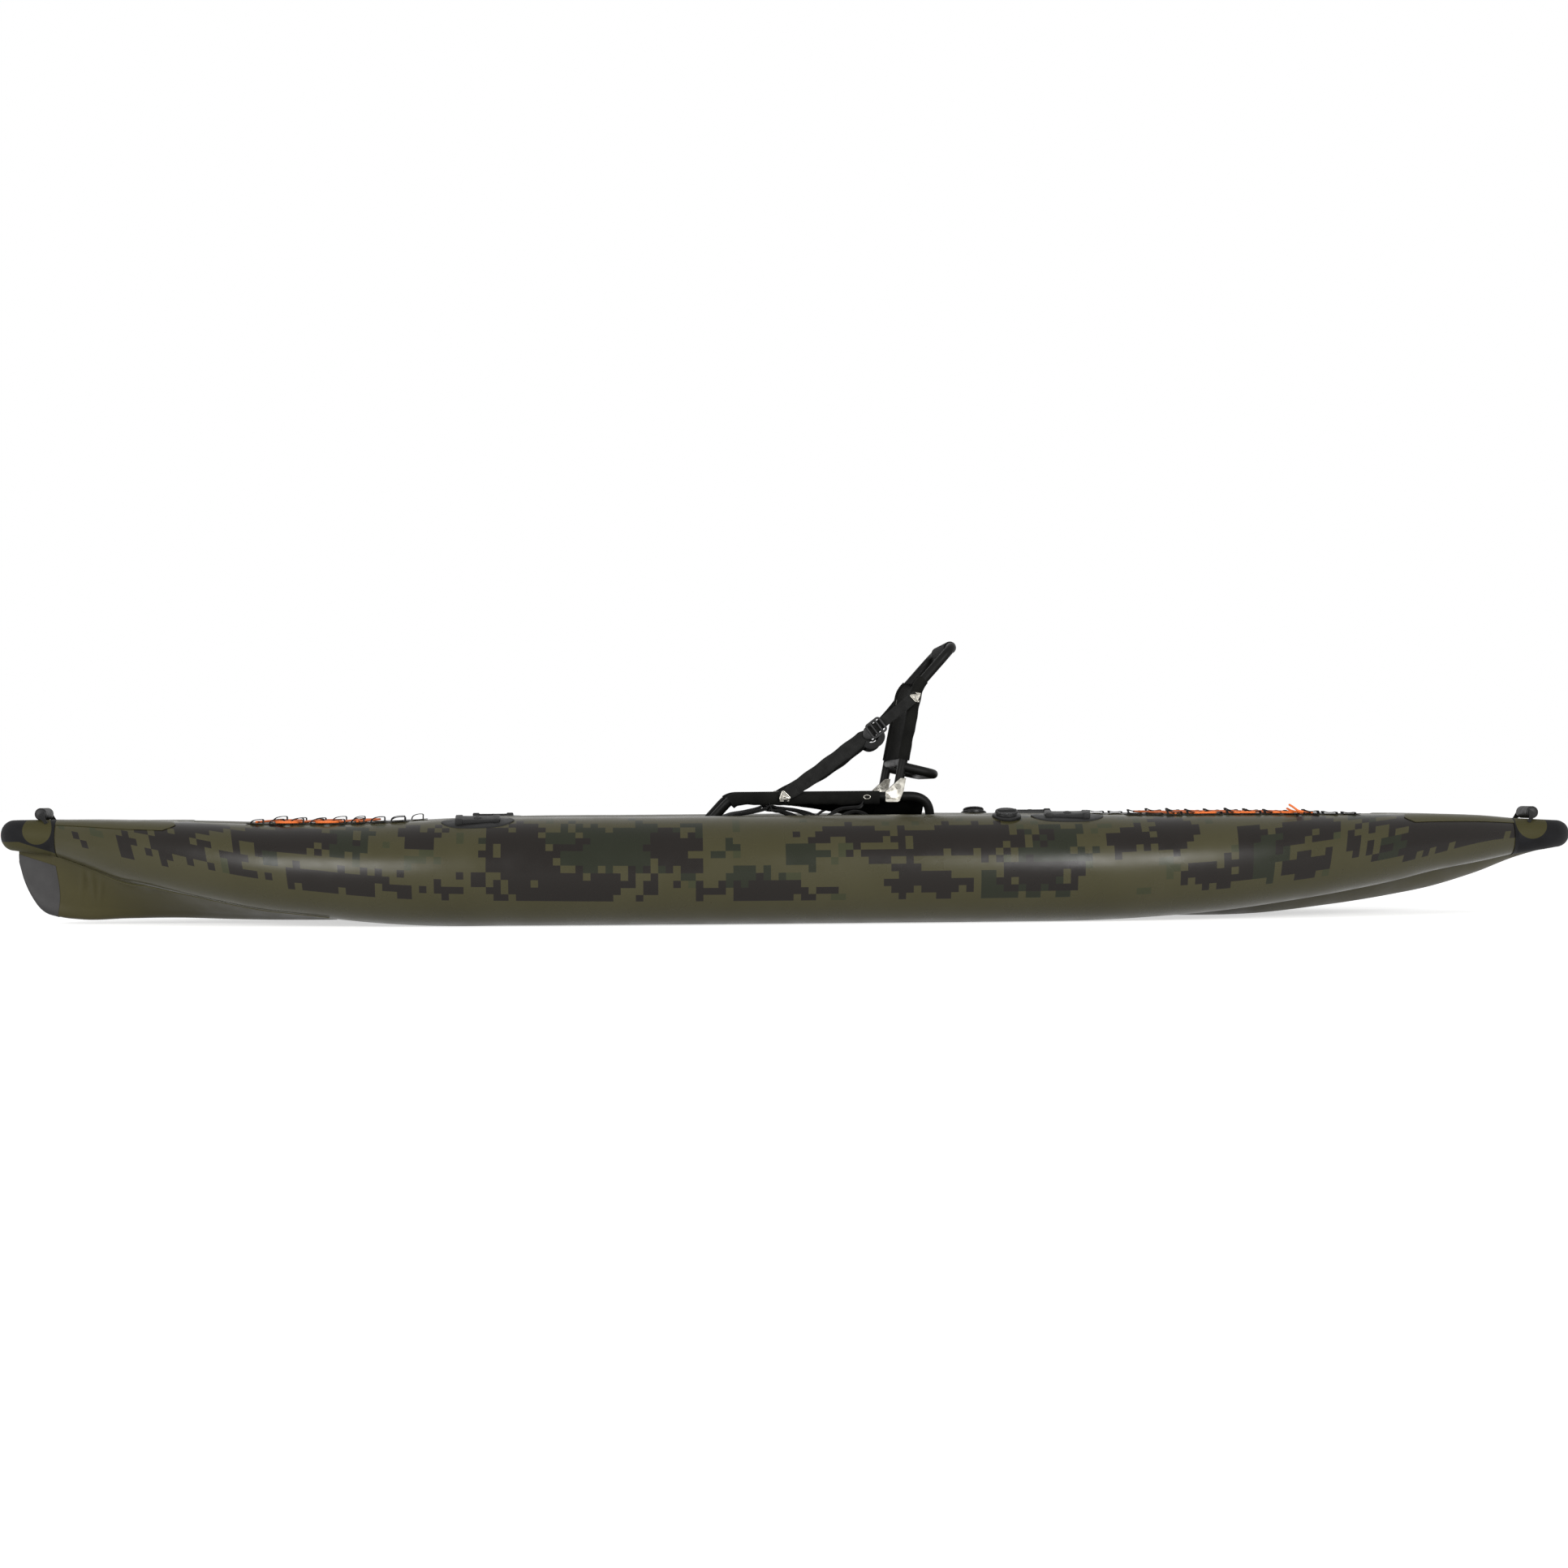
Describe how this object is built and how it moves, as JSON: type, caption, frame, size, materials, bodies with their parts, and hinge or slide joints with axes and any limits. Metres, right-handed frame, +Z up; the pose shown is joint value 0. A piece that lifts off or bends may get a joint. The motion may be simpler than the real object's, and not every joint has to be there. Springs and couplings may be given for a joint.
{
  "type": "inflatable fishing kayak",
  "caption": "Inflatable sit-on kayak with two side tubes, deep bow keel, high folding seat on a tube frame, laced bungees, gear mounts and carry handles.",
  "frame": {"origin": "centre of the bounding box, at the height the tubes rest on", "axes": "+X towards the stern, +Y to starboard, +Z up; the bow points to -X"},
  "size_m": [3.86, 0.99, 0.669],
  "materials": {
    "tube_fabric": "satin coated fabric",
    "bottom_fabric": "satin coated fabric",
    "nose_fabric": "matt coated fabric",
    "wear_patch": "matt",
    "floor_fabric": "matt coated fabric",
    "moulding": "fine texture",
    "webbing": "woven",
    "bungee": "braided",
    "powder_coat": "satin powder coat",
    "sling_fabric": "woven",
    "stainless": "bright",
    "grip_foam": "closed-cell foam"
  },
  "bodies": {
    "boat": {"port_tube": "tube_fabric", "starboard_tube": "tube_fabric", "bow_deck": "tube_fabric", "stern_deck": "tube_fabric", "hull_bottom": "bottom_fabric", "bow_keel": "bottom_fabric", "bow_nose_wrap": "nose_fabric", "stern_nose_wrap": "nose_fabric", "keel_wear_patch": "wear_patch", "floor_panel": "floor_fabric", "port_valve_body": "moulding", "starboard_valve_body": "moulding", "floor_valve_body": "moulding", "bow_gear_mount_port": "moulding", "bow_gear_mount_starboard": "moulding", "stern_gear_mount_port": "moulding", "stern_gear_mount_starboard": "moulding", "port_strap_buckle": "moulding", "starboard_strap_buckle": "moulding", "bow_daisy_chain_port": "webbing", "bow_daisy_chain_starboard": "webbing", "stern_daisy_chain_port": "webbing", "stern_daisy_chain_starboard": "webbing", "port_back_strap": "webbing", "starboard_back_strap": "webbing", "seat_tie_down_port": "webbing", "seat_tie_down_starboard": "webbing", "foot_brace_strap_port": "webbing", "foot_brace_strap_starboard": "webbing", "bow_bungee": "bungee", "stern_bungee": "bungee", "seat_frame_port": "powder_coat", "seat_frame_starboard": "powder_coat", "seat_front_cross_tube": "powder_coat", "seat_rear_cross_tube": "powder_coat", "seat_sling": "sling_fabric", "hinge_bracket_port": "stainless", "hinge_bracket_starboard": "stainless", "pivot_bolt_port": "stainless", "pivot_bolt_starboard": "stainless", "lower_strap_anchor_port": "stainless", "lower_strap_anchor_starboard": "stainless", "foot_brace_bar": "grip_foam"},
    "backrest": {"back_frame": "powder_coat", "back_cross_tube": "powder_coat", "rear_bar": "powder_coat", "back_sling": "sling_fabric", "top_grip": "grip_foam", "upper_strap_anchor_port": "stainless", "upper_strap_anchor_starboard": "stainless"},
    "bow_handle": {"bow_handle_webbing": "webbing", "bow_handle_grip": "moulding"},
    "stern_handle": {"stern_handle_webbing": "webbing", "stern_handle_grip": "moulding"},
    "port_cap": {"port_valve_cap": "moulding"},
    "port_poppet": {"port_valve_poppet": "moulding"},
    "starboard_cap": {"starboard_valve_cap": "moulding"},
    "starboard_poppet": {"starboard_valve_poppet": "moulding"},
    "floor_cap": {"floor_valve_cap": "moulding"},
    "floor_poppet": {"floor_valve_poppet": "moulding"}
  },
  "joints": [
    {"name": "backrest_fold", "type": "hinge", "parent": "boat", "child": "backrest", "pos_m": [0.262, 0, 0.32], "axis": [0, -1, 0], "range_deg": [0, 95], "deforming": ["port_back_strap", "starboard_back_strap", "port_strap_buckle", "starboard_strap_buckle"]},
    {"name": "bow_handle_swing", "type": "hinge", "parent": "boat", "child": "bow_handle", "pos_m": [-1.8069, 0, 0.25095], "axis": [0, 1, 0], "range_deg": [0, 65]},
    {"name": "stern_handle_swing", "type": "hinge", "parent": "boat", "child": "stern_handle", "pos_m": [1.81525, 0, 0.223], "axis": [0, -1, 0], "range_deg": [0, 70]},
    {"name": "port_cap_turn", "type": "hinge", "parent": "boat", "child": "port_cap", "pos_m": [0.50508, -0.39013, 0.24746], "axis": [0, -0.2588, 0.9659], "range_deg": [0, 90]},
    {"name": "port_poppet_push", "type": "slide", "parent": "boat", "child": "port_poppet", "axis": [0, 0.2588, -0.9659], "range_m": [0, 0.005], "stiffness_N_per_m": 300, "springref_m": -0.004},
    {"name": "starboard_cap_turn", "type": "hinge", "parent": "boat", "child": "starboard_cap", "pos_m": [0.50508, 0.39013, 0.24746], "axis": [0, 0.2588, 0.9659], "range_deg": [0, 90]},
    {"name": "starboard_poppet_push", "type": "slide", "parent": "boat", "child": "starboard_poppet", "axis": [0, -0.2588, -0.9659], "range_m": [0, 0.005], "stiffness_N_per_m": 300, "springref_m": -0.004},
    {"name": "floor_cap_turn", "type": "hinge", "parent": "boat", "child": "floor_cap", "pos_m": [0.61953, 0, 0.11868], "axis": [0, 0, 1], "range_deg": [0, 90]},
    {"name": "floor_poppet_push", "type": "slide", "parent": "boat", "child": "floor_poppet", "axis": [0, 0, -1], "range_m": [0, 0.005], "stiffness_N_per_m": 300, "springref_m": -0.004}
  ]
}
